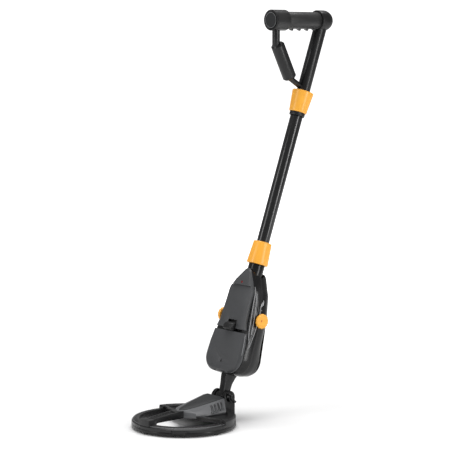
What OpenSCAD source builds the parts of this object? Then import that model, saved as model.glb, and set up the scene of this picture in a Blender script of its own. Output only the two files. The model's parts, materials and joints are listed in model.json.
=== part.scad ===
// Hand-held metal detector with a folding search coil, a telescoping shaft and a D-shaped handle.
// +Z is up, the coil lies flat on the ground, and the handle's free end points to -Y.
// Lengths "along the shaft" are measured from the coil's hinge; depths are towards the front.

/* [Posture] */
// Backward lean of the shaft from vertical, in degrees
lean = 20.4; // [14:0.2:26]
// Distance along the shaft from the hinge to the grip's axis
grip_s = 600; // [590:1:615]
// Upward tilt of the grip's free end, in degrees
grip_tilt = 2.5; // [1.5:0.5:5]

/* [Coil] */
// Outside diameter of the search coil
coil_d = 157; // [154:1:160]
// Radial width of the coil's ring
ring_w = 12; // [11.5:0.5:13]
// Height of the crest of the ring above the ground
ring_top = 15; // [14.6:0.1:16]
// Height of the raised rim round the rear of the ring
rim_top = 19; // [18:0.5:20.5]
// Height of the four feet
foot_h = 2.3; // [2:0.1:3]
// Height of the housing on the coil at its rear edge
fin_top = 37.6; // [36:0.2:39]

/* [Hinge] */
// Distance of the hinge's axis behind the coil's centre
hinge_back = 79; // [78.5:0.5:80]
// Height of the hinge's axis above the ground
hinge_z = 35; // [34:0.5:37]
// Diameter of the hinge bolt
bolt_d = 7; // [6:0.5:8]
// Distance of the shaft's axis in front of the hinge's axis, at the height of the hinge
hinge_set = 2.8; // [2:0.2:3.4]
// Width of the lower stem between the hinge ears
stem_w = 12; // [11:0.5:13]
// Thickness of each rubber hinge washer
washer_t = 3.2; // [2.8:0.1:3.5]

/* [Control box] */
// Length along the shaft of the lower end of the control box
box_s = 35; // [34:0.5:36]
// Depth of the battery cover's front face in front of the shaft's axis
face_d = 20.5; // [20:0.5:22]
// Depth of the rear of the box's lower lobe behind the shaft's axis
lobe_d = 29; // [27:0.5:30]
// Wall thickness of the shells
wall = 2.2; // [1.8:0.1:2.6]
// Diameter of the two knobs
knob_d = 23; // [21:0.5:25]
// Length along the shaft of the knobs' axis
knob_s = 124; // [122:0.5:126]
// Number of scallops round a knob
knob_scallops = 14; // [10:1:18]

/* [Shaft and collars] */
// Outside diameter of the shaft tube
shaft_d = 19.5; // [18:0.5:20]
// Outside diameter of the neck above the control box
neck_d = 25; // [24.5:0.5:26]
// Outside diameter of the handle leg
leg_d = 20.5; // [20:0.5:22]
// Largest diameter of the collars
collar_d = 33.5; // [32:0.5:35]
// Distance the shaft slides into the control box
stroke = 50; // [30:5:50]

/* [Grip] */
// Diameter of the grip's end flanges
grip_flange_d = 32; // [31:0.5:34]
// Diameter of the grip's soft middle
grip_d = 26.4; // [25:0.2:27]
// Distance from the leg's axis to the grip's front face
grip_front = 108; // [104:1:112]
// Number of finger ridges under the grip
finger_ridges = 4; // [3:1:5]

/* [Hidden] */
$fn = 64;
eps = 0.01;
run = 0.05;            // radial clearance of a running fit
clear = 0.4;           // gap between bodies that only pass each other

coil_r = coil_d / 2;
ring_in = coil_r - ring_w;
grip_back = 17;        // rear end of the grip's dome behind the leg's axis
back_y = hinge_back - hinge_set + grip_s * sin(lean) + grip_back;
coil_y = (coil_r - back_y) / 2;      // puts the middle of the whole length at Y = 0
hinge_y = coil_y + hinge_back;
shaft_y = hinge_y - hinge_set;
grip_y = shaft_y + grip_s * sin(lean);
grip_z = hinge_z + grip_s * cos(lean);
ear_in = stem_w / 2 + washer_t + 0.15;
ear_t = 5.6;
ear_out = ear_in + ear_t;
ear_r = 10.4;

shaft_low = 165;       // lower end of the shaft tube when the shaft is drawn out
neck_low = shaft_low - stroke - 3;
neck_top = 225;
shaft_top = 470;
collar_low_s = 208.4;
collar_low_h = 35.1;
collar_up_s = 451.6;
collar_up_h = 33.7;
collar_narrow_d = 28;
collet_r = 11;
thread_r = 12.8;       // outside radius of the threaded ring on the handle leg
tube_wall = 1.5;

door_top = 99;         // upper edge of the battery cover, along the shaft
door_hinge_s = 37.5;
door_hinge_d = 16;
door_pin_r = 0.9;
door_ear_x = 11;
door_ear_w = 4;
stem_front = 7.6;      // depths of the stem's shoulder in front of the shaft's axis and behind it
stem_rear = 14;
nose_low = 171;        // lower edge of the nose panel, along the shaft
panel_d = 19;          // depth of the face panel's front
deck_d = 14;           // depth of the front shell's front

// ---- frames of reference ----

module on_coil() {
  translate([0, coil_y, 0]) children();
}

module on_hinge() {
  translate([0, hinge_y, hinge_z]) children();
}

// Z runs up the shaft from the hinge, and -Y is the front of the control box.
module on_shaft(s = 0) {
  translate([0, shaft_y, hinge_z]) rotate([-lean, 0, 0]) translate([0, 0, s]) children();
}

// Z runs forward along the grip from the leg's axis, and +Y is the grip's top.
module on_grip(z = 0) {
  translate([0, grip_y, grip_z]) rotate([90 - grip_tilt, 0, 0]) translate([0, 0, z]) children();
}

// A slab of a shaft-frame outline (across, along the shaft) between two depths.
module slab(points, from_d, to_d) {
  translate([0, -from_d, 0]) rotate([90, 0, 0]) linear_extrude(to_d - from_d) polygon(points);
}

// A prism along X, centred, with its outline in (depth, along the shaft).
module side_prism(points, width) {
  rotate([90, 0, -90]) translate([0, 0, -width / 2]) linear_extrude(width) polygon(points);
}

module tube(r_out, r_in, h) {
  difference() {
    cylinder(r = r_out, h = h);
    translate([0, 0, -1]) cylinder(r = r_in, h = h + 2);
  }
}

// ---- outlines of the control box ----

function arc(c, r, a0, a1, n) =
  [for (i = [0:n]) let (a = a0 + (a1 - a0) * i / n) [c.x + r * cos(a), c.y + r * sin(a)]];

function mirrored(half) =
  concat(half, [for (i = [len(half) - 1:-1:0]) [-half[i].x, half[i].y]]);

// Outline of the front plates, drawn in by g all round.
function face_half(g) = concat(
  arc([15.5, box_s + 24.5], 24 - g, -90, 13, 10),
  [[38.4 - g, 80], [34.6 - g, 98], [28.8 - g, 116], [26.4 - g, 148]],
  arc([6, 160], 20 - g, 4, 30, 3),
  arc([0, 190], 9.5 - g, 32, 80, 4));

// Outline of the box at its parting plane, drawn in by g all round.
function body_half(g) = concat(
  arc([16, box_s + 26], 26 - g, -90, 2, 10),
  arc([17, 124], 22 - g, 2, 18, 3),
  arc([11.5, 160], 18 - g, 20, 42, 3),
  arc([4, 188], 11 - g, 46, 84, 4));

// Outline of the rounded lobe at the box's lower end, drawn in by g all round.
function lobe_half(g) = arc([16, box_s + 27], 26 - g, -90, 50, 12);

// Half of the box behind or in front of the parting plane, with rounded edges, drawn in by g.
module rear_solid(g) {
  hull() {
    slab(mirrored(body_half(g)), -6, 0);
    slab(mirrored(body_half(g + 2)), -14, -13);
    slab(mirrored(body_half(g + 7)), g - 21, g - 20.5);
    slab(mirrored(lobe_half(g + 4)), 5 - lobe_d, 5.5 - lobe_d);
    slab(mirrored(lobe_half(g + 12)), g - lobe_d, g - lobe_d + 0.5);
  }
}

module front_solid(g) {
  hull() {
    slab(mirrored(body_half(g)), 0, 1);
    slab(mirrored(face_half(g)), deck_d - g - 0.5, deck_d - g);
  }
}

// What passes through both shells: the neck, the stem, the spindles and the cut beside the neck.
module shell_passages() {
  translate([0, 0, neck_low]) cylinder(r = neck_d / 2 + 0.1, h = 120);
  translate([-stem_w / 2 - 0.2, -stem_front - 0.2, box_s - 5])
    cube([stem_w + 0.4, stem_front + stem_rear + 0.4, 14]);
  translate([0, 0, knob_s]) rotate([0, 90, 0]) cylinder(r = 4, h = 100, center = true);
  translate([0, 2, 201]) rotate([0, 90, 0]) cylinder(r = 12, h = 80, center = true);
}

// ---- handle ----

ridge_pitch = 15.9;
first_ridge = 16.4;
sleeve_from = 12;
sleeve_to = 80;
flange_to = grip_front - 2;
core_r = grip_d / 2 - 2.4;
dome_z = grip_flange_d / 2 - grip_back;
post_z = 97;           // distance of the front post from the leg, along the grip
post_r = 5.9;

// Where the handle leg enters the grip, in the grip's frame.
module leg_hole() {
  rotate([grip_tilt - 90 - lean, 0, 0]) translate([0, 0, -60]) cylinder(r = leg_d / 2 + eps, h = 60);
}

module grip_core() {
  color("#1c1c1e") on_grip() difference() {
    union() {
      cylinder(r = core_r, h = sleeve_to);
      translate([0, 0, sleeve_to]) cylinder(r = grip_flange_d / 2, h = flange_to - sleeve_to);
    }
    translate([0, 0, 16]) cylinder(r = core_r - 3, h = flange_to);
    leg_hole();
    translate([0, 0, post_z]) rotate([90 + grip_tilt, 0, 0]) translate([0, 0, 2])
      cylinder(r = post_r + eps, h = 40);
  }
}

module grip_sleeve() {
  color("#262628") on_grip() difference() {
    union() {
      translate([0, 0, sleeve_from]) tube(grip_d / 2, core_r, sleeve_to - sleeve_from);
      for (i = [0:finger_ridges - 1])
        translate([0, -grip_d / 2 + 1.6, first_ridge + i * ridge_pitch]) rotate([62, 0, 0])
          translate([0, 0, -1]) cylinder(r = 3.4, h = 4.4);
    }
    translate([0, 0, sleeve_from - 1]) cylinder(r = core_r, h = sleeve_to);
    leg_hole();
  }
}

module grip_front_cap() {
  color("#303033") on_grip(flange_to) rotate_extrude()
    polygon([[0, 0], [15.6, 0], [16, 0.4], [16, 1.4], [15.4, 2], [14.2, 2], [13.9, 1.4], [0, 1.4]]);
}

module grip_rear_dome() {
  color("#1c1c1e") on_grip() difference() {
    rotate_extrude() intersection() {
      union() {
        translate([0, dome_z]) circle(r = grip_flange_d / 2);
        translate([0, dome_z]) square([grip_flange_d / 2, sleeve_from - dome_z]);
      }
      translate([0, -30]) square([40, sleeve_from + 30]);
    }
    leg_hole();
    cylinder(r = core_r + eps, h = 30);
  }
}

module handle_leg() {
  color("#1a1a1c") on_shaft(shaft_top + 2) difference() {
    cylinder(r = leg_d / 2, h = grip_s - shaft_top - 2);
    translate([0, 0, -1]) cylinder(r = 8.25, h = grip_s - shaft_top - 20);
  }
}

post_y = grip_y - post_z * cos(grip_tilt);
post_top = grip_z + post_z * sin(grip_tilt) - 2;
post_low = grip_z - 33;
brace_lean = 26.5;
brace_len = 58.5;
brace_y = post_y + 2.8;
foot_s = 489;          // where the strut meets the handle leg, along the shaft

module front_post() {
  color("#222225") translate([0, post_y, post_low - 4]) cylinder(r = post_r, h = post_top - post_low + 4);
}

module on_brace() {
  translate([0, brace_y, post_low]) rotate([180 + brace_lean, 0, 0]) children();
}

module brace_barrel() {
  on_brace() rotate_extrude() polygon([[0, -1], [8.7, -1], [10.5, 1.2], [10.5, brace_len - 2],
                                       [8.7, brace_len], [0, brace_len]]);
}

module brace_sleeve() {
  color("#202023") difference() {
    brace_barrel();
    translate([0, post_y, post_low - 4]) cylinder(r = post_r + eps, h = 33);
  }
}

module brace_strut() {
  brace_end_y = brace_y + brace_len * sin(brace_lean);
  brace_end_z = post_low - brace_len * cos(brace_lean);
  run_y = shaft_y + foot_s * sin(lean) - brace_end_y;
  drop_z = brace_end_z - hinge_z - foot_s * cos(lean);
  color("#1d1d20") difference() {
    translate([0, brace_end_y, brace_end_z]) rotate([180 + atan2(run_y, drop_z), 0, 0])
      translate([0, 0, -2]) cylinder(r = 4.3, h = norm([run_y, drop_z]) - 4);
    on_shaft(shaft_top) cylinder(r = leg_d / 2 + eps, h = 60);
    brace_barrel();
  }
}

module leg_thread_ring() {
  color("#26262a") on_shaft(shaft_top + 0.6) tube(thread_r, leg_d / 2, 13.8);
}

module joint_spigot() {
  color("#39393d") on_shaft(shaft_top - 18) cylinder(r = shaft_d / 2 - tube_wall - run, h = 36);
}

module upper_collet() {
  color("#1b1b1d") on_shaft(collar_up_s - 5.6) difference() {
    union() {
      cylinder(r = 12, h = 5.2);
      cylinder(r = collet_r, h = 17);
    }
    translate([0, 0, -1]) cylinder(r = shaft_d / 2 + run, h = 20);
    for (a = [0, 90]) rotate([0, 0, a]) translate([-20, -0.5, 8]) cube([40, 1, 20]);
  }
}

// A collar's outside runs from its narrow end at z = 0 to its wide end; steps are its inner radii.
module collar(h, narrow_r, mouth_r, seat_z, seat_r) {
  difference() {
    rotate_extrude() polygon([[8, 0], [narrow_r - 0.8, 0], [narrow_r, 0.8],
                              [collar_d / 2, h - 0.8], [collar_d / 2 - 0.8, h], [8, h]]);
    translate([0, 0, -1]) cylinder(r = mouth_r, h = h + 2);
    translate([0, 0, seat_z]) cylinder(r = seat_r, h = h);
  }
}

module upper_collar() {
  color("#f59a32") on_shaft(collar_up_s)
    collar(collar_up_h, collar_narrow_d / 2 - 0.25, collet_r + run + 0.03, 17, thread_r + run + 0.03);
}

module shaft_tube() {
  color("#111113") on_shaft(shaft_low) tube(shaft_d / 2, shaft_d / 2 - tube_wall, shaft_top - shaft_low);
}

module shaft_end_plug() {
  color("#333337") on_shaft(shaft_low - 2) {
    cylinder(r = shaft_d / 2 - 0.1, h = 2);
    cylinder(r = shaft_d / 2 - tube_wall - run, h = 12);
  }
}

// ---- lower collar and neck ----

module lower_collar() {
  color("#f59a32") on_shaft(collar_low_s + collar_low_h) mirror([0, 0, 1]) difference() {
    collar(collar_low_h, collar_narrow_d / 2 + 0.25, shaft_d / 2 + clear, 18, neck_d / 2 + run + 0.03);
    translate([0, 0, 3]) cylinder(r = collet_r + run + 0.03, h = 15);
  }
}

module lower_collet() {
  color("#2b2b2f") on_shaft(neck_top) difference() {
    tube(collet_r, shaft_d / 2 + run, 13.5);
    for (a = [45, 135]) rotate([0, 0, a]) translate([-20, -0.5, 3]) cube([40, 1, 20]);
  }
}

module neck_socket() {
  color("#242427") on_shaft(neck_low) tube(neck_d / 2, shaft_d / 2 + run, neck_top - neck_low);
}

// ---- control box ----

speaker_s = 74;
boss_from = 34;        // depth behind the parting plane at which the boss bores start
head_seat = 12;        // depth behind the parting plane at which the screw heads rest
boss_points = [[26, 56], [-26, 56], [30, 100], [-30, 100], [20, 156], [-20, 156]];

// Places something at each screw boss, pointing forward from the given distance to the rear.
module at_bosses(y) {
  for (p = boss_points) translate([p.x, y, p.y]) rotate([90, 0, 0]) children();
}

module rear_shell() {
  color("#19191b") on_shaft() difference() {
    union() {
      difference() {
        rear_solid(0);
        rear_solid(wall);
        slab(mirrored(body_half(wall)), -1, 1);
      }
      intersection() {
        rear_solid(0.4);
        at_bosses(boss_from) cylinder(r = 3.8, h = boss_from);
      }
    }
    shell_passages();
    at_bosses(boss_from) cylinder(r = 1.6, h = boss_from + 1);
    at_bosses(boss_from) cylinder(r = 2.7, h = boss_from - head_seat);
    for (i = [-2:2], j = [-2:2]) if (norm([i, j]) < 2.3)
      translate([i * 5, boss_from, speaker_s + j * 5]) rotate([90, 0, 0]) cylinder(r = 1.2, h = 12);
  }
}

module front_shell() {
  color("#1f1f21") on_shaft() {
    difference() {
      front_solid(0);
      difference() {
        front_solid(wall);
        at_bosses(0) cylinder(r = 3, h = 20);
      }
      slab(mirrored(body_half(wall)), -1, 0.5 + eps);
      shell_passages();
      translate([-15, -20, 43]) cube([30, 20, 54]);
      at_bosses(1) cylinder(r = 1.25, h = 9);
    }
    for (side = [-1, 1]) translate([side * door_ear_x, 0, 0]) door_ear();
  }
}

// One of the two ears on the front shell in which the battery door's pins turn.
module door_ear() {
  at_door_hinge() difference() {
    union() {
      cylinder(r = 1.7, h = door_ear_w, center = true);
      translate([0, -1.7, -door_ear_w / 2]) cube([door_hinge_d - deck_d + 0.6, 3.4, door_ear_w]);
    }
    cylinder(r = door_pin_r + run, h = 20, center = true);
  }
}

// The door's hinge line: Z runs across the box and +X to the rear.
module at_door_hinge() {
  translate([0, -door_hinge_d, door_hinge_s]) rotate([0, 90, 0]) rotate([0, 0, 90]) children();
}

// Part of the front plates' outline between two lengths along the shaft.
module face_plate(g, from_s, to_s, from_d, to_d) {
  intersection() {
    slab(mirrored(face_half(g)), from_d, to_d);
    translate([-60, -60, from_s]) cube([120, 120, to_s - from_s]);
  }
}

module face_panel() {
  color("#3a3a3d") on_shaft() difference() {
    face_plate(0.3, door_top + 5, nose_low - 0.2, deck_d, panel_d);
    translate([-9.4, -30, door_top]) cube([18.8, 20, 18]);
  }
}

module nose_panel() {
  color("#39393c") on_shaft() difference() {
    hull() {
      face_plate(0.3, nose_low, 204, deck_d, deck_d + 0.5);
      face_plate(3, nose_low, nose_low + 8, face_d + 0.2, face_d + 0.7);
    }
    translate([0, -10, nose_low + 4.5]) rotate([90, 0, 0]) cylinder(r = 2, h = 20);
  }
}

module lamp_lens() {
  color("#b8302a") on_shaft() translate([0, -deck_d - 0.2, nose_low + 4.5]) rotate([90, 0, 0])
    cylinder(r = 2 - run, h = face_d - deck_d + 0.2);
}

// V-shaped trims that follow the box's slanted sides.
module side_trims() {
  trim = [[12.2, 172], [9.8, 178], [4.5, 166], [3.4, 130], [6.5, 84], [8, 90], [10.4, 116]];
  color("#55555a") on_shaft() intersection() {
    difference() {
      front_solid(-0.7);
      front_solid(0);
    }
    difference() {
      side_prism(trim, 120);
      side_prism(trim, 30);
    }
  }
}

module battery_door() {
  color("#37373a") on_shaft() {
    difference() {
      intersection() {
        hull() {
          slab(mirrored(face_half(0.3)), deck_d + clear, deck_d + 3);
          slab(mirrored(face_half(1.6)), face_d - 1.6, face_d - 1.5);
          slab(mirrored(face_half(4)), face_d - 0.1, face_d);
        }
        translate([-60, -60, 0]) cube([120, 120, door_top]);
      }
      translate([0, -10, 52]) rotate([90, 0, 0]) cylinder(r = 2.1, h = 20);
      translate([-16, -16.6, 43]) cube([32, 20, 53]);
      at_door_hinge() difference() {
        translate([0, -10, -60]) cube([20, 10, 120]);
        cylinder(r = door_hinge_d - deck_d - clear, h = 200, center = true);
      }
      for (side = [-1, 1]) translate([side * door_ear_x, 0, 0]) at_door_hinge() {
        cylinder(r = 2.1, h = door_ear_w + 0.6, center = true);
        translate([0, -2.1, -door_ear_w / 2 - 0.3]) cube([10, 4.2, door_ear_w + 0.6]);
        translate([-3.2, -10, -door_ear_w / 2 - 0.3]) cube([6, 10, door_ear_w + 0.6]);
      }
    }
    for (side = [-1, 1]) translate([side * door_ear_x, 0, 0]) at_door_hinge()
      cylinder(r = door_pin_r, h = door_ear_w + 3, center = true);
  }
}

module door_screw() {
  color("#c8c8cc") on_shaft() translate([0, -face_d + 1.4, 52]) rotate([-90, 0, 0]) difference() {
    cylinder(r = 2, h = 4.5);
    translate([-3, -0.3, -1]) cube([6, 0.6, 1.6]);
    translate([-0.3, -3, -1]) cube([0.6, 6, 1.6]);
  }
}

module door_latch() {
  color("#2d2d30") on_shaft() difference() {
    side_prism([[deck_d + clear, 100], [25.6, 100], [27, 102], [26, 109], [19.6, 113], [deck_d + clear, 113]],
               18);
    translate([-20, -40, 99]) cube([40, 16, 1.8]);
  }
}

// A knob, its spindle and its potentiometer, on the +X side.
module knob() {
  grip_r = knob_d / 2;
  translate([40.5, 0, 0]) rotate([0, 90, 0]) difference() {
    rotate_extrude() polygon([[0, 0], [grip_r - 0.8, 0], [grip_r, 0.8], [grip_r, 5],
                              [grip_r - 1.2, 6], [2.2, 6], [1.4, 4.6], [0, 4.6]]);
    for (i = [0:knob_scallops - 1]) rotate([0, 0, i * 360 / knob_scallops])
      translate([grip_r + 0.9, 0, -1]) cylinder(r = 1.6, h = 8, $fn = 24);
    translate([0, 0, -1]) cylinder(r = 3, h = 4);
  }
}

module spindle() {
  translate([27, 0, 0]) rotate([0, 90, 0]) cylinder(r = 3, h = 16.5);
}

module potentiometer() {
  translate([17, 0, 0]) rotate([0, 90, 0]) difference() {
    union() {
      cylinder(r = 8.5, h = 10);
      cylinder(r = 3.8, h = 15);
    }
    translate([0, 0, 9.5]) cylinder(r = 3 + run, h = 10);
  }
}

module volume_knob() { color("#f59a32") on_shaft(knob_s) knob(); }
module volume_spindle() { color("#c9c9cd") on_shaft(knob_s) spindle(); }
module volume_pot() { color("#8f9094") on_shaft(knob_s) potentiometer(); }
module tuning_knob() { color("#f59a32") on_shaft(knob_s) mirror([1, 0, 0]) knob(); }
module tuning_spindle() { color("#c9c9cd") on_shaft(knob_s) mirror([1, 0, 0]) spindle(); }
module tuning_pot() { color("#8f9094") on_shaft(knob_s) mirror([1, 0, 0]) potentiometer(); }

module circuit_board() {
  color("#1e6b3a") on_shaft() translate([-22, 6, 48]) cube([44, 1.6, 60]);
}

module speaker() {
  color("#4a4a4e") on_shaft() translate([0, lobe_d - wall - 3, speaker_s]) rotate([90, 0, 0]) {
    cylinder(r = 14, h = 3);
    cylinder(r1 = 14, r2 = 8, h = 6);
    cylinder(r = 8, h = 9.5);
  }
}

module battery() {
  color("#3d4a5c") on_shaft() translate([-13.25, -14, 46]) cube([26.5, 17.5, 46.4]);
}

module battery_snap() {
  color("#151515") on_shaft() translate([-13.25, -14, 92.6]) cube([26.5, 17.5, 3.2]);
}

module shell_screws() {
  color("#c8c8cc") on_shaft() {
    at_bosses(head_seat) cylinder(r = 1.2, h = 17);
    at_bosses(head_seat + 1.8) cylinder(r = 2.5, h = 1.8);
  }
}

// The stem, from the hinge's eye up into the box.
module lower_stem() {
  stem_side = [[3, 2], [3.4, 10], [5.2, 21], [stem_front, 32], [stem_front, 44], [-stem_rear, 44],
               [-stem_rear, 35], [-12, 31], [-9, 22], [-8.6, 14], [-10.4, 4]];
  color("#232326") difference() {
    union() {
      on_shaft() side_prism(stem_side, stem_w);
      on_hinge() rotate([0, 90, 0]) cylinder(r = 8.5, h = stem_w, center = true);
    }
    on_hinge() rotate([0, 90, 0]) cylinder(r = bolt_d / 2 + run, h = 40, center = true);
  }
}

// ---- search coil ----

skin = 2;
tray_top = 7.2;
arc_from = 12;         // the raised rear rim runs from this angle behind +X to the same behind -X
deck_top = 15.2;
deck_t = 2;
rail_top = 18.6;
wing_in = [24, 4];     // inner and outer ends of each wing's front edge
wing_out = [74, 19];

module coil_top() {
  color("#2a2a2c") on_coil() difference() {
    union() {
      rotate_extrude($fn = 128) polygon([[coil_r - 0.3, tray_top + 0.2], [coil_r - 0.3, 11.4],
        [coil_r - 2.4, 13.4], [coil_r - 6, 14.9], [ring_in + 1.8, ring_top], [ring_in, ring_top - 0.6],
        [ring_in, foot_h + 1.75], [ring_in + skin, foot_h + 1.75], [ring_in + skin, 12.6],
        [coil_r - 2.4, 11], [coil_r - 2.4, tray_top + 0.2]]);
      arm_saddle();
      rotate([0, 0, arc_from]) rotate_extrude(angle = 180 - 2 * arc_from, $fn = 128)
        polygon([[coil_r - 0.3, 11], [coil_r - 0.3, 16.5], [coil_r - 2.2, rim_top],
                 [ring_in + 1.6, rim_top - 0.4], [ring_in, 17.4], [ring_in, 13.4], [coil_r - 3, 12]]);
    }
    window_cuts(1.6);
    hinge_block_gap();
  }
}

module coil_bottom() {
  color("#232325") on_coil() difference() {
    rotate_extrude($fn = 128) polygon([[ring_in, foot_h], [coil_r - 0.6, foot_h], [coil_r, foot_h + 0.6],
      [coil_r, tray_top], [coil_r - 2.2, tray_top], [coil_r - 2.2, foot_h + 1.7],
      [ring_in, foot_h + 1.7]]);
    window_cuts(1.6);
  }
}

// The notch in the ring's top in which the hinge block stands.
block_low = 9.4;
block_front = ring_in - 2;
module hinge_block_gap() {
  translate([-ear_out - eps, block_front - eps, block_low]) cube([2 * ear_out + 2 * eps, 40, 30]);
}

window_angles = [-90 - 44, -90 + 44, 90 - 46, 90 + 46];

module window_cuts(depth) {
  for (a = window_angles) rotate([0, 0, a]) translate([coil_r - depth, -10, foot_h + 1.2])
    cube([10, 20, 7.6]);
}

module coil_windows() {
  color("#0c0c0d") on_coil() for (a = window_angles) rotate([0, 0, a])
    difference() {
      translate([coil_r - 1.59, -9.7, foot_h + 1.3]) cube([0.9, 19.4, 7.4]);
      translate([coil_r - 1.2, -8.2, foot_h + 2.4]) cube([3, 16.4, 5.2]);
    }
}

// The sunken plate that closes the rear of the ring, and the rails along its front edges.
module rear_deck() {
  plate = concat([[-wing_in.x, wing_in.y], [wing_in.x, wing_in.y]],
                 arc([0, 0], ring_in - eps, 15, 165, 40));
  color("#1e1e20") on_coil() difference() {
    union() {
      translate([0, 0, deck_top - deck_t]) linear_extrude(deck_t) polygon(plate);
      for (side = [-1, 1]) wing_rail(side);
    }
    translate([0, 0, deck_top]) linear_extrude(20) polygon(fin_base(-eps));
    translate([0, 0, deck_top - 8 - block_low]) hinge_block_gap();
    coil_screw_holes(1.4);
  }
}

module wing_rail(side) {
  scale_x = side * (ring_in - 0.4) / norm(wing_out);
  end = [wing_out.x * scale_x, wing_out.y * abs(scale_x)];
  start = [side * wing_in.x, wing_in.y];
  translate([0, 0, deck_top - deck_t]) linear_extrude(rail_top - deck_top + deck_t)
    polygon([start, end, end + [-side * 1.4, 5], start + [0, 5]]);
}

saddle_w = 22;

// Where the arm crosses the top of the ring.
module arm_saddle() {
  difference() {
    intersection() {
      translate([0, 0, tray_top + 0.2]) cylinder(r = coil_r, h = 14.4, $fn = 128);
      translate([-saddle_w / 2, -coil_r - 1, 12.7]) cube([saddle_w, 30, 10]);
    }
    cylinder(r = ring_in, h = 60, $fn = 128);
  }
}

module coil_arm() {
  arm_w = 17;
  color("#2b2b2d") on_coil() difference() {
    union() {
      rotate([90, 0, 90]) translate([0, 0, -arm_w / 2]) linear_extrude(arm_w)
        polygon([[-ring_in - 1, 12.6], [-58, 15.2], [-6, 15.2], [-6, 26], [-14, 26],
                 [-30, 25], [-ring_in, 21.8], [-ring_in - 1, 21.8]]);
      translate([0, 0, 12.6]) linear_extrude(9.2)
        polygon([[-saddle_w / 2, -ring_in + 0.4], [saddle_w / 2, -ring_in + 0.4], [8.5, -60], [-8.5, -60]]);
    }
    rotate([90, 0, 90]) translate([0, 0, -arm_w / 2 + 3]) linear_extrude(arm_w - 6)
      polygon([[-ring_in - 2, 20.6], [-30, 23.5], [-20, 24.2], [-20, 40], [-ring_in - 2, 40]]);
    difference() {
      cylinder(r = coil_r, h = 40, $fn = 128);
      translate([0, 0, -1]) cylinder(r = ring_in - eps, h = 42, $fn = 128);
    }
    linear_extrude(40) polygon(fin_base(-eps));
  }
}

// Ears of the hinge on a block behind the ring.
module hinge_ears() {
  ear = [hinge_back - ear_r, hinge_back + ear_r];
  color("#262628") on_coil() difference() {
    union() {
      for (side = [-1, 1]) translate([side * (ear_in + ear_out) / 2, 0, 0]) rotate([90, 0, 90])
        translate([0, 0, -ear_t / 2]) linear_extrude(ear_t) {
          translate([hinge_back, hinge_z]) circle(r = ear_r);
          translate([ear[0], 10.4]) square([2 * ear_r, hinge_z - 10.4]);
        }
      translate([-ear_out, block_front, 10.4]) cube([2 * ear_out, ear[1] - block_front, 9]);
      translate([-ear_out, coil_r - 0.4, foot_h]) cube([2 * ear_out, ear[1] - coil_r + 0.4, 12]);
    }
    translate([-30, hinge_back, hinge_z]) rotate([0, 90, 0]) cylinder(r = bolt_d / 2 + run, h = 60);
    translate([0, 0, 1]) cylinder(r = coil_r + eps, h = block_low - 1, $fn = 128);
  }
}

// Leaf-shaped top of the housing, drawn in by g; its plane climbs to the rear.
fin_tip = -11;
fin_rear = 62;
fin_half = 23;
fin_slope = atan2(fin_top - 25, fin_rear - fin_tip);

function leaf_half(g) =
  [for (i = [0:12]) let (t = i / 12)
    [max(0.3, (fin_half - g) * pow(t, 0.45)), fin_tip + 1.4 * g + (fin_rear - fin_tip - 1.4 * g) * t]];

// Arrow-shaped foot of the housing, drawn in by g.
function fin_base(g) =
  mirrored([[0.5, fin_tip - 2 + 2 * g], [24 - g, 4 + g], [30 - g, 58 - g], [21 - g, fin_rear - g]]);

screw_place = [17, 48];

module coil_screw_holes(r) {
  for (side = [-1, 1]) translate([side * screw_place.x, screw_place.y, 0]) cylinder(r = r, h = deck_top + 11.5);
}

module on_leaf() {
  translate([0, fin_tip, 25]) rotate([fin_slope, 0, 0]) translate([0, -fin_tip, 0]) children();
}

module fin_solid(g) {
  hull() {
    translate([0, 0, deck_top + 4.6]) linear_extrude(1) polygon(fin_base(g));
    translate([0, 0, 24.5 - g]) linear_extrude(1)
      polygon(mirrored([[0.5, fin_tip - 1 + 2 * g], [21 - g, 4 + g]]));
    on_leaf() translate([0, 0, -g - 1]) linear_extrude(1) polygon(mirrored(leaf_half(g)));
  }
}

module fin_housing() {
  color("#4b4b4e") on_coil() difference() {
    union() {
      fin_solid(0);
      translate([0, 0, deck_top]) linear_extrude(5.2) polygon(fin_base(0));
    }
    difference() {
      fin_solid(2.2);
      for (side = [-1, 1]) translate([side * screw_place.x, screw_place.y, 15]) cylinder(r = 3, h = 25);
    }
    translate([0, 0, deck_top - 0.5]) linear_extrude(6.5) polygon(fin_base(2.2));
    coil_screw_holes(1.35);
    on_leaf() translate([0, 0, -0.8]) linear_extrude(3) polygon(mirrored(leaf_half(1.6)));
    fin_vents();
  }
}

module fin_vents() {
  for (side = [-1, 1], i = [0:3]) translate([side * 24, 36 + i * 6, 24.5 + i * 0.9])
    rotate([0, side * 16, 0]) {
      cube([12, 1.6, 9], center = true);
      translate([0, -1.2, -4]) cube([12, 2.4, 1.4], center = true);
    }
}

// The crowned cover that fills the leaf's recess.
module fin_leaf_cap() {
  color("#58585b") on_coil() on_leaf() hull() {
    translate([0, 0, -0.79]) linear_extrude(1.2) polygon(mirrored(leaf_half(2)));
    translate([0, 0, 1.8]) linear_extrude(0.6) polygon(mirrored(leaf_half(8)));
  }
}

module winding(from_z) {
  translate([0, 0, from_z]) rotate_extrude($fn = 128) translate([ring_in + 4, 0]) square([3.6, 2.2]);
}

module transmit_winding() { color("#b5673a") on_coil() winding(foot_h + 2); }
module receive_winding() { color("#a85a30") on_coil() winding(foot_h + 5); }

module coil_feet() {
  color("#151516") on_coil() for (a = [0:90:270]) rotate([0, 0, a]) translate([coil_r - 5, 0, 0])
    cylinder(r = 3.2, h = foot_h);
}

module coil_screws() {
  color("#c8c8cc") on_coil() for (side = [-1, 1])
    translate([side * screw_place.x, screw_place.y, deck_top - deck_t - 0.1]) {
      cylinder(r = 1.3, h = 13);
      translate([0, 0, -1.4]) cylinder(r = 2.8, h = 1.4);
    }
}

// ---- hinge hardware ----

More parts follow.
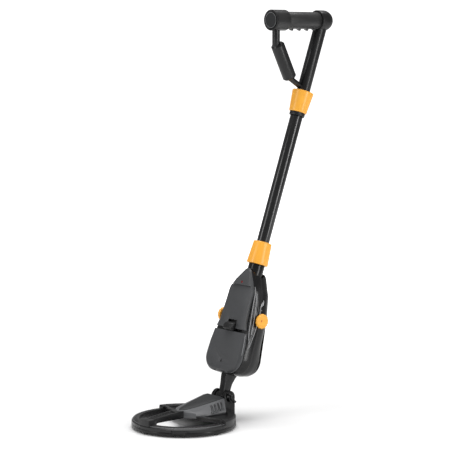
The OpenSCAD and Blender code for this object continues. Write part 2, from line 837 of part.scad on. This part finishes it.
module hinge_bolt() {
  color("#202022") on_hinge() rotate([0, 90, 0]) {
    translate([0, 0, -ear_out - 1]) cylinder(r = bolt_d / 2, h = 2 * ear_out + 8.5);
    translate([0, 0, -ear_out - 2.2]) cylinder(r = 5.4, h = 2.1);
    translate([0, 0, -ear_out - 5.6]) cylinder(r1 = 6, r2 = 4.4, h = 3.4);
  }
}

module hinge_washers() {
  color("#101010") on_hinge() for (side = [-1, 1])
    translate([side * (ear_in - washer_t / 2 - 0.05), 0, 0]) rotate([0, 90, 0])
      translate([0, 0, -washer_t / 2 + 0.05]) tube(8, bolt_d / 2 + run, washer_t - 0.1);
}

module wing_nut() {
  color("#2a2a2c") on_hinge() translate([ear_out + clear, 0, 0]) rotate([0, 90, 0]) difference() {
    union() {
      cylinder(r1 = 7, r2 = 5.6, h = 5);
      for (a = [35, 215]) rotate([0, 0, a]) translate([3.6, -1.3, 1.6]) rotate([0, -20, 0])
        cube([6.4, 2.6, 5.4]);
    }
    translate([0, 0, -1]) cylinder(r = bolt_d / 2 + run, h = 20);
  }
}

grip_core();
grip_sleeve();
grip_front_cap();
grip_rear_dome();
handle_leg();
front_post();
brace_sleeve();
brace_strut();
leg_thread_ring();
joint_spigot();
upper_collet();
upper_collar();
shaft_tube();
shaft_end_plug();
lower_collar();
lower_collet();
neck_socket();
rear_shell();
front_shell();
face_panel();
nose_panel();
lamp_lens();
side_trims();
battery_door();
door_screw();
door_latch();
volume_knob();
volume_spindle();
volume_pot();
tuning_knob();
tuning_spindle();
tuning_pot();
circuit_board();
speaker();
battery();
battery_snap();
shell_screws();
lower_stem();
coil_top();
coil_bottom();
rear_deck();
coil_arm();
hinge_ears();
fin_housing();
fin_leaf_cap();
transmit_winding();
receive_winding();
coil_windows();
coil_feet();
coil_screws();
hinge_bolt();
hinge_washers();
wing_nut();
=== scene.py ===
"""Looks of the metal detector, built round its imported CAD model. Everything is in metres."""
import json
import math

import bmesh
import bpy
from mathutils import Matrix, Vector
from mathutils.bvhtree import BVHTree


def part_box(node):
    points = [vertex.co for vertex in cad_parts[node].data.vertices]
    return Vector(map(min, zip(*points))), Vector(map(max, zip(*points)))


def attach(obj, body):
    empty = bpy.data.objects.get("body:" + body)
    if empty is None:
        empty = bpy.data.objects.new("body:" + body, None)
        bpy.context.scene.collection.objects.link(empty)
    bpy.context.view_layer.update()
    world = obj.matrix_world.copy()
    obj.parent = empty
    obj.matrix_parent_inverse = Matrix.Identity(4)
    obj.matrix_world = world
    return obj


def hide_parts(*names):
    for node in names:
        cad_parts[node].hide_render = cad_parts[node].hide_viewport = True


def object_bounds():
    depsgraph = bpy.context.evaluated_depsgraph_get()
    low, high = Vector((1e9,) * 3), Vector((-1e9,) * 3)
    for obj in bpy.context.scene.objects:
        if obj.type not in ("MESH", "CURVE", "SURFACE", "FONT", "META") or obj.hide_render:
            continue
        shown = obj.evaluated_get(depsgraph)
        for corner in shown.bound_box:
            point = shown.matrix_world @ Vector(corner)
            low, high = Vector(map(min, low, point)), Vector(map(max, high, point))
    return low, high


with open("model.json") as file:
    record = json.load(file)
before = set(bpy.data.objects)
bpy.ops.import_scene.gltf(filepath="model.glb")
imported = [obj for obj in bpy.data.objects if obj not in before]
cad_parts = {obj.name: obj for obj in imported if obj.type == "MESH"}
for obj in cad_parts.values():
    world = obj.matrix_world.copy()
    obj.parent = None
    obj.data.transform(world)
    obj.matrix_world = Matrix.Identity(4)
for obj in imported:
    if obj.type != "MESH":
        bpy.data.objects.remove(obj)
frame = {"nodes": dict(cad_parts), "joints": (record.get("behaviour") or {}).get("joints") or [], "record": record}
cad_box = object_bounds()

MM = 0.001
RECORD = frame["record"]
JOINTS = {joint["name"]: joint for joint in frame["joints"]}
MOUNTS = {mount["name"]: mount for mount in RECORD["mounts"]}
SLOT_OF = {part["node"]: part["material_slot"] for part in RECORD["subparts"]}
BODY_OF = {node: body for body, nodes in RECORD["behaviour"]["bodies"].items() for node in nodes}


# ---- frames of reference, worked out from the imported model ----

def basis(x, y, z, origin):
    """The matrix whose columns are three directions and an origin."""
    rows = [[x[i], y[i], z[i], origin[i]] for i in range(3)]
    return Matrix(rows + [[0, 0, 0, 1]])


ACROSS = Vector((1, 0, 0))
SHAFT_UP = Vector(JOINTS["shaft_slide"]["axis"]).normalized()
SHAFT_REAR = SHAFT_UP.cross(ACROSS)
COLLAR_S = 225 * MM      # the lower collar's joint lies this far up the shaft from the hinge's height
SHAFT_ZERO = Vector(JOINTS["lower_collar_turn"]["pos_m"]) - COLLAR_S * SHAFT_UP
SHAFT = basis(ACROSS, SHAFT_REAR, SHAFT_UP, SHAFT_ZERO)

GRIP_FORWARD = Vector(MOUNTS["hand_grip"]["axis"]).normalized()
GRIP_UP = GRIP_FORWARD.cross(ACROSS)
GRIP_MIDDLE = 46 * MM    # the hand's place on the grip lies this far in front of the leg's axis
GRIP_ZERO = Vector(MOUNTS["hand_grip"]["pos_m"]) - GRIP_MIDDLE * GRIP_FORWARD
GRIP = basis(ACROSS, GRIP_UP, GRIP_FORWARD, GRIP_ZERO)

COIL_LOW, COIL_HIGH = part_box("coil_bottom")
COIL_ZERO = Vector(((COIL_LOW[0] + COIL_HIGH[0]) / 2, (COIL_LOW[1] + COIL_HIGH[1]) / 2, 0))
COIL = Matrix.Translation(COIL_ZERO)
KNOB_S = 124             # both knobs lie this many millimetres up the shaft from the hinge's height


def along_shaft(s):
    """The shaft's frame, moved s millimetres up from the hinge's height."""
    return SHAFT @ Matrix.Translation((0, 0, s * MM))


# ---- materials: one procedural finish for each slot ----

class Tree:
    """A few shorthands for building a material's nodes."""

    def __init__(self, name):
        self.material = bpy.data.materials.new(name)
        self.material.use_nodes = True
        self.nodes = self.material.node_tree.nodes
        self.links = self.material.node_tree.links
        self.shader = self.nodes["Principled BSDF"]
        self.place = self.nodes.new("ShaderNodeTexCoord").outputs["Object"]

    def feed(self, socket, value):
        if isinstance(value, bpy.types.NodeSocket):
            self.links.new(value, socket)
        else:
            socket.default_value = value

    def noise(self, per_metre, detail=3.0, stretch=(1, 1, 1), roughness=0.55):
        """Noise with so many features in a metre, stretched along the axes."""
        mapping = self.nodes.new("ShaderNodeMapping")
        mapping.inputs["Scale"].default_value = stretch
        self.links.new(self.place, mapping.inputs["Vector"])
        noise = self.nodes.new("ShaderNodeTexNoise")
        noise.inputs["Scale"].default_value = per_metre
        noise.inputs["Detail"].default_value = detail
        noise.inputs["Roughness"].default_value = roughness
        self.links.new(mapping.outputs["Vector"], noise.inputs["Vector"])
        return noise.outputs["Fac"]

    def remap(self, value, low, high, to_low, to_high):
        """A smooth step of a value from one range to another."""
        node = self.nodes.new("ShaderNodeMapRange")
        node.interpolation_type = "SMOOTHSTEP"
        self.feed(node.inputs["Value"], value)
        node.inputs["From Min"].default_value = low
        node.inputs["From Max"].default_value = high
        node.inputs["To Min"].default_value = to_low
        node.inputs["To Max"].default_value = to_high
        return node.outputs["Result"]

    def mix(self, amount, first, second):
        node = self.nodes.new("ShaderNodeMix")
        node.data_type = "RGBA"
        self.feed(node.inputs["Factor"], amount)
        self.feed(node.inputs["A"], first)
        self.feed(node.inputs["B"], second)
        return node.outputs["Result"]

    def math(self, operation, first, second):
        node = self.nodes.new("ShaderNodeMath")
        node.operation = operation
        self.feed(node.inputs[0], first)
        self.feed(node.inputs[1], second)
        return node.outputs[0]

    def bump(self, height, strength, depth):
        node = self.nodes.new("ShaderNodeBump")
        node.inputs["Strength"].default_value = strength
        node.inputs["Distance"].default_value = depth
        self.links.new(height, node.inputs["Height"])
        self.links.new(node.outputs["Normal"], self.shader.inputs["Normal"])


def shade(colour, factor):
    """A linear colour made lighter or darker."""
    return tuple(min(1, channel * factor) for channel in colour[:3]) + (1,)


def srgb(red, green, blue):
    """A display colour from 0 to 255 as a linear one."""
    def linear(value):
        value = value / 255
        return value / 12.92 if value <= 0.04045 else ((value + 0.055) / 1.055) ** 2.4
    return (linear(red), linear(green), linear(blue), 1)


def finish(slot, colour, rough, grain=900, depth=0.02, vary=0.12, wear=0.25,
           metallic=0.0, coat=0.0, coat_rough=0.1, sheen=0.0, specular=0.5):
    """Moulded or painted stuff: cloudy tone, fine grain, rubbed edges and a few hair scratches."""
    tree = Tree("look_" + slot)
    shader = tree.shader
    shader.inputs["Metallic"].default_value = metallic
    shader.inputs["Coat Weight"].default_value = coat
    shader.inputs["Coat Roughness"].default_value = coat_rough
    shader.inputs["Sheen Weight"].default_value = sheen
    shader.inputs["Specular IOR Level"].default_value = specular
    cloud = tree.noise(18, detail=4)
    speck = tree.noise(grain, detail=2)
    scratch = tree.noise(70, detail=5, stretch=(1.0, 9.0, 1.6), roughness=0.7)
    pointy = tree.nodes.new("ShaderNodeNewGeometry").outputs["Pointiness"]
    rubbed = tree.remap(pointy, 0.53, 0.62, 0.0, wear)
    tone = tree.mix(tree.remap(cloud, 0.3, 0.7, 0, 1), shade(colour, 1 - vary), shade(colour, 1 + vary))
    tone = tree.mix(tree.remap(speck, 0.35, 0.75, 0, 0.35), tone, shade(colour, 1.35))
    lifted = tuple(channel * 0.75 + 0.06 for channel in colour[:3]) + (1,)
    tree.feed(shader.inputs["Base Color"], tree.mix(rubbed, tone, lifted))
    hairs = tree.remap(scratch, 0.66, 0.74, 0.0, 0.09)
    gloss = tree.remap(cloud, 0.25, 0.75, rough - 0.035, rough + 0.045)
    tree.feed(shader.inputs["Roughness"], tree.math("ADD", gloss, hairs))
    tree.bump(tree.math("ADD", speck, tree.math("MULTIPLY", hairs, 2.0)), depth * 10, 0.1 * MM)
    return tree.material


def make_looks():
    """Every slot's material."""
    looks = {}
    looks["grip_plastic"] = finish("grip_plastic", srgb(19, 19, 20), 0.30, grain=1500, depth=0.02,
                                   specular=0.42)
    looks["grip_rubber"] = finish("grip_rubber", srgb(20, 20, 21), 0.44, grain=2200, depth=0.04, sheen=0.1)
    looks["tube_black"] = finish("tube_black", srgb(15, 15, 16), 0.24, grain=700, depth=0.01, coat=0.25)
    looks["collar_orange"] = finish("collar_orange", srgb(255, 176, 62), 0.30, grain=1200, depth=0.015,
                                    vary=0.05, wear=0.2)
    looks["shell_black"] = finish("shell_black", srgb(16, 16, 17), 0.24, grain=1000, depth=0.012,
                                  specular=0.36)
    looks["panel_grey"] = finish("panel_grey", srgb(62, 63, 65), 0.44, grain=2600, depth=0.03, vary=0.06)
    looks["trim_grey"] = finish("trim_grey", srgb(150, 151, 153), 0.38, grain=1800, vary=0.06)
    looks["dark_part"] = finish("dark_part", srgb(20, 20, 21), 0.40, grain=1700, depth=0.025,
                                specular=0.4)
    looks["lamp_red"] = finish("lamp_red", srgb(120, 16, 14), 0.12, coat=0.8, coat_rough=0.03, wear=0.0)
    looks["screw_steel"] = finish("screw_steel", srgb(170, 170, 172), 0.28, grain=900, metallic=1.0)
    looks["pot_metal"] = finish("pot_metal", srgb(150, 148, 142), 0.4, grain=1100, metallic=1.0)
    looks["board_green"] = finish("board_green", srgb(26, 84, 48), 0.38, grain=800, coat=0.3)
    looks["battery_case"] = finish("battery_case", srgb(52, 58, 78), 0.3, grain=700, metallic=0.4)
    looks["coil_black"] = finish("coil_black", srgb(18, 18, 19), 0.27, grain=1300, depth=0.018,
                                 specular=0.28)
    looks["fin_grey"] = finish("fin_grey", srgb(84, 85, 87), 0.40, grain=2000, depth=0.025, vary=0.07)
    looks["copper"] = finish("copper", srgb(190, 110, 70), 0.3, metallic=1.0)
    looks["rubber_black"] = finish("rubber_black", srgb(24, 24, 25), 0.6, grain=1800, depth=0.04)
    looks["leaf"] = finish("leaf", srgb(42, 43, 44), 0.5, grain=2300, depth=0.04, vary=0.08, specular=0.22)
    # near-black painted shade for the housing's vent slots, which look dark because they lie in shade
    looks["gap"] = finish("gap", srgb(12, 12, 12), 0.5, grain=1500, wear=0.0)
    # pale grey for the grip badge's rim, and a painted highlight line round the coil ring's top edge
    looks["pale_rim_and_painted_highlight"] = finish("pale_rim_and_painted_highlight", srgb(104, 105, 107), 0.35, grain=1500, wear=0.0)
    looks["print_light"] = finish("print_light", srgb(190, 190, 192), 0.4, grain=1500, wear=0.0)
    looks["knob_mark"] = finish("knob_mark", srgb(196, 74, 20), 0.4, grain=1500, wear=0.0)
    return looks


LOOKS = make_looks()


# ---- making pieces ----

def place_piece(name, mesh, body, slot, nodes=(), look=None):
    """Puts a finished mesh in the scene as a piece of the object."""
    mesh.materials.clear()
    mesh.materials.append(LOOKS[look or slot])
    piece = bpy.data.objects.new(name, mesh)
    bpy.context.scene.collection.objects.link(piece)
    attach(piece, body)
    if nodes:
        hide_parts(*nodes)
    return piece


def soften(piece, radius):
    """Rounds a piece's sharp edges and smooths its curved faces."""
    bevel_from = math.radians(28)
    smooth_to = math.radians(32)
    if radius:
        bevel = piece.modifiers.new("rounded_edges", "BEVEL")
        bevel.width = radius
        bevel.segments = 2
        bevel.limit_method = "ANGLE"
        bevel.angle_limit = bevel_from
        bevel.miter_outer = "MITER_ARC"
        bevel.use_clamp_overlap = True
    depsgraph = bpy.context.evaluated_depsgraph_get()
    mesh = bpy.data.meshes.new_from_object(piece.evaluated_get(depsgraph))
    piece.modifiers.clear()
    piece.data = mesh
    mesh.shade_smooth()
    mesh.set_sharp_from_angle(angle=smooth_to)
    return piece


def refine(node, radius=0.3 * MM):
    """A CAD node's shape with its coplanar triangles joined and its edges rounded."""
    same_point = 0.004 * MM
    flat = math.radians(1.2)
    mesh = frame["nodes"][node].data.copy()
    shape = bmesh.new()
    shape.from_mesh(mesh)
    bmesh.ops.remove_doubles(shape, verts=shape.verts, dist=same_point)
    bmesh.ops.dissolve_limit(shape, angle_limit=flat, verts=shape.verts, edges=shape.edges)
    shape.to_mesh(mesh)
    shape.free()
    piece = place_piece("fine_" + node, mesh, BODY_OF[node], SLOT_OF[node], (node,))
    return soften(piece, radius)


# CAD nodes that stay as they are, inside the object, and only get their finish.
INSIDE = ["volume_pot", "tuning_pot", "circuit_board", "speaker", "battery", "battery_snap",
          "transmit_winding", "receive_winding", "shaft_end_plug", "joint_spigot", "grip_core"]
for name in INSIDE:
    held = frame["nodes"][name]
    held.data.materials.clear()
    held.data.materials.append(LOOKS[SLOT_OF[name]])


# ---- hand-built pieces ----

def join_rings(shape, rings):
    """Skins closed rings of points, in millimetres, and returns the rings of vertices."""
    loops = [[shape.verts.new((x * MM, y * MM, z * MM)) for x, y, z in ring] for ring in rings]
    for first, second in zip(loops, loops[1:]):
        for k in range(len(first)):
            n = (k + 1) % len(first)
            shape.faces.new((first[k], first[n], second[n], second[k]))
    return loops


def take_mesh(shape, name, place):
    """The mesh of a finished shape, facing outwards, moved into a frame."""
    bmesh.ops.recalc_face_normals(shape, faces=shape.faces)
    mesh = bpy.data.meshes.new(name)
    shape.to_mesh(mesh)
    shape.free()
    mesh.transform(place)
    return mesh


def turned_mesh(rings, name, place):
    """The mesh of closed rings with both ends capped."""
    shape = bmesh.new()
    loops = join_rings(shape, rings)
    shape.faces.new(loops[0])
    shape.faces.new(loops[-1])
    return take_mesh(shape, name, place)


def circle(radius, height, count):
    """Points round a circle in a frame's X-Y plane, at a height above it."""
    turns = [2 * math.pi * i / count for i in range(count)]
    return [(radius * math.cos(a), radius * math.sin(a), height) for a in turns]


def arc_points(centre, radius, start, end, count):
    """Points on an arc, in millimetres, angles in degrees."""
    turns = [math.radians(start + (end - start) * i / count) for i in range(count + 1)]
    return [(centre[0] + radius * math.cos(a), centre[1] + radius * math.sin(a)) for a in turns]


def body_half(inset):
    """Half of the box's outline, x against s, drawn in by inset."""
    return (arc_points((16, 61), 26 - inset, -90, 2, 16) + arc_points((17, 124), 22 - inset, 2, 18, 5)
            + arc_points((11.5, 160), 18 - inset, 20, 42, 6) + arc_points((4, 188), 11 - inset, 46, 84, 6))


def lobe_half(inset):
    """Half of the outline of the bulge round the battery, at the box's back."""
    return arc_points((16, 62), 26 - inset, -90, 50, 24)


def lerp(first, second, amount):
    """A point between two points."""
    return tuple(a + (b - a) * amount for a, b in zip(first, second))


def resample(points, count):
    """The same outline with evenly spaced points, from the middle line back to the middle line."""
    points = [(0.0, points[0][1])] + points + [(0.0, points[-1][1])]
    lengths = [0.0]
    for first, second in zip(points, points[1:]):
        lengths.append(lengths[-1] + math.dist(first, second))
    result = []
    k = 0
    for i in range(count + 1):
        target = lengths[-1] * i / count
        while k < len(points) - 2 and lengths[k + 1] < target:
            k += 1
        step = (target - lengths[k]) / max(lengths[k + 1] - lengths[k], 1e-9)
        result.append(lerp(points[k], points[k + 1], step))
    return result


def box_section(depth, low_inset, high_inset, lobe_share):
    """The box's closed outline at a depth behind the parting plane."""
    half_count = 60
    low_s = 55       # the low inset holds below this height, the high one above the next
    high_s = 100
    low_half = resample(body_half(low_inset), half_count)
    high_half = resample(body_half(high_inset), half_count)
    lobe = resample(lobe_half(low_inset), half_count)
    half = []
    for low, high, bulge in zip(low_half, high_half, lobe):
        rise = min(1.0, max(0.0, (low[1] - low_s) / (high_s - low_s)))
        rise = rise * rise * (3 - 2 * rise)
        half.append(lerp(lerp(low, high, rise), bulge, lobe_share))
    outline = half + [(-x, s) for x, s in reversed(half[1:-1])]
    return [(x, depth, s) for x, s in outline]


def neck_cutter():
    """A round bar across the box's top, which cuts the notch for the neck."""
    radius = 13 * MM
    length = 80 * MM
    shape = bmesh.new()
    bmesh.ops.create_cone(shape, cap_ends=True, segments=64, radius1=radius, radius2=radius, depth=length)
    across = Matrix.Rotation(math.radians(90), 4, "Y")
    place = along_shaft(202) @ Matrix.Translation((0, 2 * MM, 0)) @ across
    cutter = bpy.data.objects.new("neck_cutter", take_mesh(shape, "neck_cutter", place))
    bpy.context.scene.collection.objects.link(cutter)
    return cutter


def build_rear_shell():
    """The box's pillow-shaped back, open to the front, with the notch for the neck."""
    # Depth behind the parting plane, how far the outline draws in low down and high up,
    # and how much of it is the lobe's.
    sections = [(0, 0, 0, 0), (4, 0, 0, 0), (8, 0.3, 0.4, 0), (12, 1.2, 1.4, 0), (15, 2.0, 2.8, 0),
                (18, 2.6, 4.8, 0), (20, 3.0, 6.4, 0), (21.5, 3.3, 8, 0.1), (22.8, 3.6, 8, 0.45),
                (24, 4, 8, 0.85), (25.5, 5.2, 8, 1), (27, 7.2, 8, 1), (28.2, 9.8, 8, 1), (28.8, 12, 8, 1),
                (29, 15, 8, 1)]
    shape = bmesh.new()
    back = join_rings(shape, [box_section(*section) for section in sections])[-1]
    count = len(back)
    for k in range(count // 2):
        corners = []
        for vertex in (back[k], back[k + 1], back[(count - k - 1) % count], back[(count - k) % count]):
            if vertex not in corners:
                corners.append(vertex)
        if len(corners) > 2:
            shape.faces.new(corners)
    mesh = take_mesh(shape, "box_back", SHAFT)
    piece = place_piece("box_back", mesh, "control_box", "shell_black", ("rear_shell",))
    wall = piece.modifiers.new("wall", "SOLIDIFY")
    wall.thickness = 2.0 * MM
    wall.offset = -1
    cutter = neck_cutter()
    cut = piece.modifiers.new("neck_notch", "BOOLEAN")
    cut.object = cutter
    cut.solver = "EXACT"
    bpy.context.view_layer.update()
    soften(piece, 0)
    bpy.data.objects.remove(cutter)


def on_surface(node, place, side, points, spacing=1.5):
    """Points of a side view, y against z in a frame, moved sideways onto a node's surface."""
    mesh = frame["nodes"][node].data
    target = BVHTree.FromPolygons([v.co for v in mesh.vertices], [p.vertices for p in mesh.polygons])
    reach = 120
    dense = []
    for first, second in zip(points, points[1:]):
        steps = max(1, round(math.dist(first, second) / spacing))
        dense += [lerp(first, second, i / steps) for i in range(steps)]
    dense.append(points[-1])
    inwards = (place.to_3x3() @ Vector((-side, 0, 0))).normalized()
    found = []
    for y, z in dense:
        start = place @ (Vector((side * reach, y, z)) * MM)
        where = target.ray_cast(start, inwards)[0]
        if where:
            found.append(where)
    return found


def strip(name, paths, radius, body, slot, look, nodes=()):
    """Thin rounded ridges along paths, as one piece."""
    curve = bpy.data.curves.new(name, "CURVE")
    curve.dimensions = "3D"
    curve.bevel_depth = radius * MM
    curve.bevel_resolution = 3
    curve.use_fill_caps = True
    for path in paths:
        if len(path) < 2:
            continue
        spline = curve.splines.new("POLY")
        spline.points.add(len(path) - 1)
        for point, where in zip(spline.points, path):
            point.co = (*where, 1)
    holder = bpy.data.objects.new(name + "_curve", curve)
    bpy.context.scene.collection.objects.link(holder)
    depsgraph = bpy.context.evaluated_depsgraph_get()
    mesh = bpy.data.meshes.new_from_object(holder.evaluated_get(depsgraph))
    bpy.data.objects.remove(holder)
    mesh.shade_smooth()
    return place_piece(name, mesh, body, slot, nodes, look)


def hoop(place, radius, height, count):
    """A closed path round a frame's Z axis."""
    points = circle(radius, height, count)
    return [place @ (Vector(point) * MM) for point in points + points[:1]]


def build_side_lines():
    """The light V on each slanted side, and painted highlights along the door's edges."""
    outer = [(-12.6, 172), (-12.7, 150), (-12.8, 125), (-12.9, 104), (-12.4, 96), (-8.7, 79),
             (-6.5, 92), (-4.6, 105), (-3.1, 119), (-1.8, 134), (-1.2, 146)]
    inner = [(-9.4, 163), (-8.8, 145), (-8.6, 122), (-9.2, 100)]
    door_edge = [(-18.0, 96.5), (-18.0, 66)]
    vees = []
    edges = []
    for side in (-1, 1):
        vees.append(on_surface("front_shell", SHAFT, side, outer))
        vees.append(on_surface("front_shell", SHAFT, side, inner))
        edges.append(on_surface("battery_door", SHAFT, side, door_edge))
    strip("side_vees", vees, 0.58, "control_box", "trim_grey", "trim_grey", nodes=("side_trims",))
    # painted highlight: pale grey lines along the door's edges, where light catches them
    strip("door_edge_highlights", edges, 0.32, "battery_door", "trim_grey", "trim_grey")


def build_cap_disc():
    """The grip's front badge: a shallow domed disc in a light rim."""
    face = 108        # the front face's place along the grip
    count = 96
    profile = [(4.0, 0.3), (8.0, 0.15), (10.6, 0.0), (11.2, -0.6)]
    rings = [circle(radius, face + rise, count) for radius, rise in profile]
    mesh = turned_mesh(rings, "grip_badge", GRIP)
    soften(place_piece("grip_badge", mesh, "handle", "grip_plastic", (), "leaf"), 0)
    rim = hoop(GRIP, 11.4, face, count)
    strip("grip_badge_rim", [rim], 0.45, "handle", "grip_plastic", "pale_rim_and_painted_highlight")


def build_volume_scale():
    """The fan of short strokes and the dot above the near knob."""
    strokes = []
    for i in range(4):
        y = -0.6 + 1.5 * i
        node = "front_shell" if y < 0 else "rear_shell"
        stroke = [(y, 144.5 + 1.4 * i), (y + 0.2, 149.5 + 2.2 * i)]
        strokes.append(on_surface(node, SHAFT, 1, stroke))
    dot = [(1.2, 139.4), (1.2, 140.6)]
    strokes.append(on_surface("rear_shell", SHAFT, 1, dot))
    strip("volume_scale", strokes, 0.45, "control_box", "trim_grey", "print_light")


def build_knob(name, side):
    """A scalloped knob with a small dark mark beside its middle."""
    lobes = 14
    count = 168
    scallop_depth = 0.75
    # Distance from the box's middle, radius, and how much of the scallops' depth is cut there.
    profile = [(40.6, 9.6, 0), (41.0, 10.9, 1), (41.8, 11.35, 1), (43.4, 11.4, 1), (45.0, 11.3, 1),
               (45.9, 10.9, 1), (46.35, 10.2, 0.7), (46.5, 9.3, 0.3), (46.45, 8.4, 0), (46.1, 7.9, 0),
               (46.0, 7.2, 0), (46.15, 4.0, 0)]
    rings = []
    for x, radius, share in profile:
        ring = []
        for i in range(count):
            turn = 2 * math.pi * i / count
            cut = scallop_depth * share * (0.5 - 0.5 * math.cos(lobes * turn)) ** 0.7
            ring.append((side * x, (radius - cut) * math.cos(turn), (radius - cut) * math.sin(turn)))
        rings.append(ring)
    knob = along_shaft(KNOB_S)
    mesh = turned_mesh(rings, name, knob)
    soften(place_piece("scalloped_" + name, mesh, name, "collar_orange", (name,)), 0)

    mark_radius = 1.15 * MM
    mark_place = knob @ Matrix.Translation(Vector((side * 46.05, -3.2, 0)) * MM)
    shape = bmesh.new()
    bmesh.ops.create_uvsphere(shape, u_segments=20, v_segments=10, radius=mark_radius)
    bmesh.ops.scale(shape, vec=(0.35, 1, 1.5), verts=shape.verts)
    mark = take_mesh(shape, name + "_mark", mark_place)
    mark.shade_smooth()
    place_piece(name + "_mark", mark, name, "collar_orange", (), "knob_mark")


def build_louvres():
    """Hooked vents on the housing's flanks: raised ridges in near-black, painted shade where the vent slots lie.
    """
    spacing = 0.8
    hooks = []
    for side in (-1, 1):
        for i in range(4):
            y = 33.5 + 6.2 * i
            z = 25.4 + 0.9 * i
            hook = [(y, z + 4.4), (y + 0.2, z), (y - 0.2, z - 3.2), (y - 1.2, z - 4.4), (y - 2.6, z - 4.6)]
            top = [(y - 0.4, z + 4.6), (y + 2.4, z + 5.4)]
            hooks.append(on_surface("fin_housing", COIL, side, hook, spacing))
            hooks.append(on_surface("fin_housing", COIL, side, top, spacing))
    strip("louvres", hooks, 0.5, "coil", "fin_grey", "gap")


def build_ring_highlight():
    """A painted highlight: a pale line round the ring's rounded top edge, where light catches it."""
    outer = (COIL_HIGH[0] - COIL_LOW[0]) / 2 / MM
    strip("ring_edge_highlight", [hoop(COIL, outer - 2.3, 13.45, 180)], 0.3, "coil", "coil_black", "pale_rim_and_painted_highlight")


def build_leaf():
    """The crowned cover on the housing, darker than its flanks."""
    leaf = refine("fin_leaf_cap", 0.4 * MM)
    leaf.data.materials.clear()
    leaf.data.materials.append(LOOKS["leaf"])


build_rear_shell()
build_side_lines()
build_cap_disc()
build_volume_scale()
build_knob("volume_knob", 1)
build_knob("tuning_knob", -1)
build_louvres()
build_ring_highlight()
build_leaf()

BUILT = set(INSIDE) | {"rear_shell", "side_trims", "volume_knob", "tuning_knob", "fin_leaf_cap"}
for name in SLOT_OF:
    if name not in BUILT:
        refine(name)


# ---- studio ----

def add_camera():
    """Looks at the object from the photograph's place; returns its right and forward directions."""
    azimuth = math.radians(48.44)
    pitch = math.radians(7.87)
    roll = math.radians(-0.15)
    distance = 3.509
    aim_right = -21.1 * MM
    aim_up = -14.2 * MM
    level = math.cos(pitch)
    forward = Vector((-math.sin(azimuth) * level, math.cos(azimuth) * level, -math.sin(pitch)))
    right = Vector((math.cos(azimuth), math.sin(azimuth), 0))
    up = right.cross(forward)
    right, up = (right * math.cos(roll) + up * math.sin(roll),
                 up * math.cos(roll) - right * math.sin(roll))
    aim = (Vector(cad_box[0]) + Vector(cad_box[1])) / 2 + aim_right * right + aim_up * up
    data = bpy.data.cameras.new("camera")
    data.lens = 185.4
    data.sensor_width = 36
    camera = bpy.data.objects.new("camera", data)
    camera.matrix_world = basis(right, up, -forward, aim - distance * forward)
    bpy.context.scene.collection.objects.link(camera)
    bpy.context.scene.camera = camera
    return right, forward


def add_softbox(name, centre, target, width, height, power):
    """A rectangular studio light."""
    data = bpy.data.lights.new(name, "AREA")
    data.shape = "RECTANGLE"
    data.size = width
    data.size_y = height
    data.energy = power
    light = bpy.data.objects.new(name, data)
    toward = (Vector(target) - Vector(centre)).normalized()
    light.matrix_world = Matrix.Translation(centre) @ toward.to_track_quat("-Z", "Y").to_matrix().to_4x4()
    bpy.context.scene.collection.objects.link(light)


def add_floor():
    """A plain pale floor."""
    half = 30
    shape = bmesh.new()
    bmesh.ops.create_grid(shape, x_segments=2, y_segments=2, size=half)
    mesh = bpy.data.meshes.new("floor")
    shape.to_mesh(mesh)
    shape.free()
    tree = Tree("look_floor")
    tree.shader.inputs["Roughness"].default_value = 0.75
    tree.shader.inputs["Specular IOR Level"].default_value = 0.2
    tone = tree.remap(tree.noise(3), 0.3, 0.7, 0, 1)
    pale = tree.mix(tone, (0.92, 0.92, 0.92, 1), (0.94, 0.94, 0.94, 1))
    tree.feed(tree.shader.inputs["Base Color"], pale)
    distance = tree.nodes.new("ShaderNodeVectorMath")
    distance.operation = "LENGTH"
    tree.links.new(tree.place, distance.inputs[0])
    near = 0.32       # the floor fades to the backdrop's white between these distances
    far = 1.3
    fade = tree.remap(distance.outputs["Value"], near, far, 0.0, 1.0)
    seen = tree.nodes.new("ShaderNodeLightPath").outputs["Is Camera Ray"]
    tree.shader.inputs["Emission Color"].default_value = (1, 1, 1, 1)
    tree.feed(tree.shader.inputs["Emission Strength"], tree.math("MULTIPLY", fade, seen))
    mesh.materials.append(tree.material)
    floor = bpy.data.objects.new("floor", mesh)
    floor.location.z = -0.05 * MM
    bpy.context.scene.collection.objects.link(floor)


def add_studio():
    """Camera, three softboxes, a pale floor and a white backdrop."""
    right, forward = add_camera()
    ahead = Vector((forward.x, forward.y, 0)).normalized()
    middle = Vector((0, 0, 0.3))
    high = Vector((0, 0, 1))
    above = middle + 2.6 * high + 0.5 * ahead
    right_side = middle + 1.7 * right - 1.3 * ahead + 0.5 * high
    left_side = middle - 1.9 * right - 0.9 * ahead + 0.6 * high
    add_softbox("overhead", above, middle, width=2.4, height=2.4, power=74)
    add_softbox("strip_right", right_side, middle, width=0.35, height=2.2, power=24)
    add_softbox("strip_left", left_side, middle, width=0.5, height=2.0, power=15)
    add_floor()
    add_backdrop()
    bpy.context.scene.view_settings.view_transform = "Standard"


def add_backdrop():
    """Soft light from all round, seen as plain white behind the floor."""
    world = bpy.data.worlds.new("studio")
    bpy.context.scene.world = world
    world.use_nodes = True
    links = world.node_tree.links
    nodes = world.node_tree.nodes
    soft = nodes["Background"]
    soft.inputs["Color"].default_value = (1.0, 1.0, 1.0, 1)
    soft.inputs["Strength"].default_value = 0.3
    white = nodes.new("ShaderNodeBackground")
    white.inputs["Color"].default_value = (1.0, 1.0, 1.0, 1)
    white.inputs["Strength"].default_value = 1.0
    seen = nodes.new("ShaderNodeLightPath").outputs["Is Camera Ray"]
    either = nodes.new("ShaderNodeMixShader")
    links.new(seen, either.inputs["Fac"])
    links.new(soft.outputs["Background"], either.inputs[1])
    links.new(white.outputs["Background"], either.inputs[2])
    links.new(either.outputs["Shader"], nodes["World Output"].inputs["Surface"])


add_studio()
